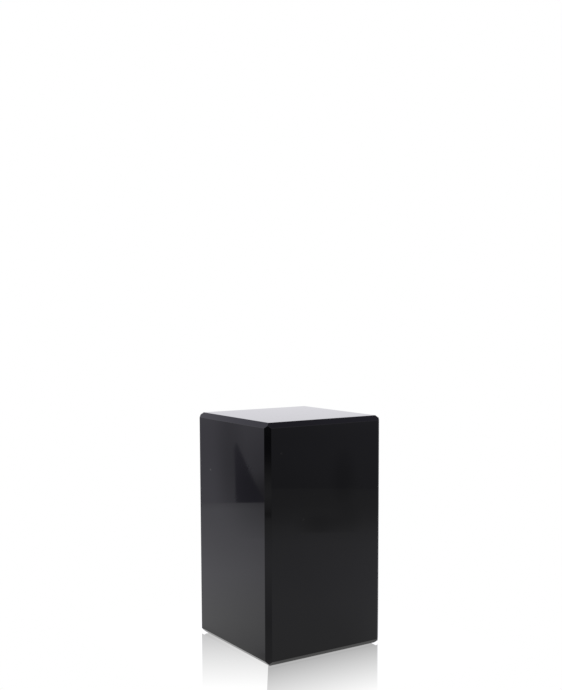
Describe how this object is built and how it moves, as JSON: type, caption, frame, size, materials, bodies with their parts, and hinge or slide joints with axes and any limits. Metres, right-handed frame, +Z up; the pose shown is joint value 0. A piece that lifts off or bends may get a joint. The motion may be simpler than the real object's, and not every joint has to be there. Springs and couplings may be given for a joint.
{
  "type": "display plinth block",
  "caption": "Solid polished black glass plinth with ground 45 degree bevels on every edge and a thin velour pad stuck under it, for raising a small exhibit.",
  "frame": {"origin": "middle of the underside, on the surface that the pad rests on", "axes": "+Z up, along the block's height; X and Y square to its upright faces, which are alike all round"},
  "size_m": [0.07, 0.07, 0.1205],
  "materials": {
    "black_glass": "polished opaque black glass, mirror gloss, no tint showing",
    "adhesive": "thin acrylic adhesive film, slightly milky",
    "black_velour": "short-pile black velour, matte"
  },
  "bodies": {
    "root": {"glass_block": "black_glass", "adhesive_film": "adhesive", "velour_pad": "black_velour"}
  },
  "joints": []
}
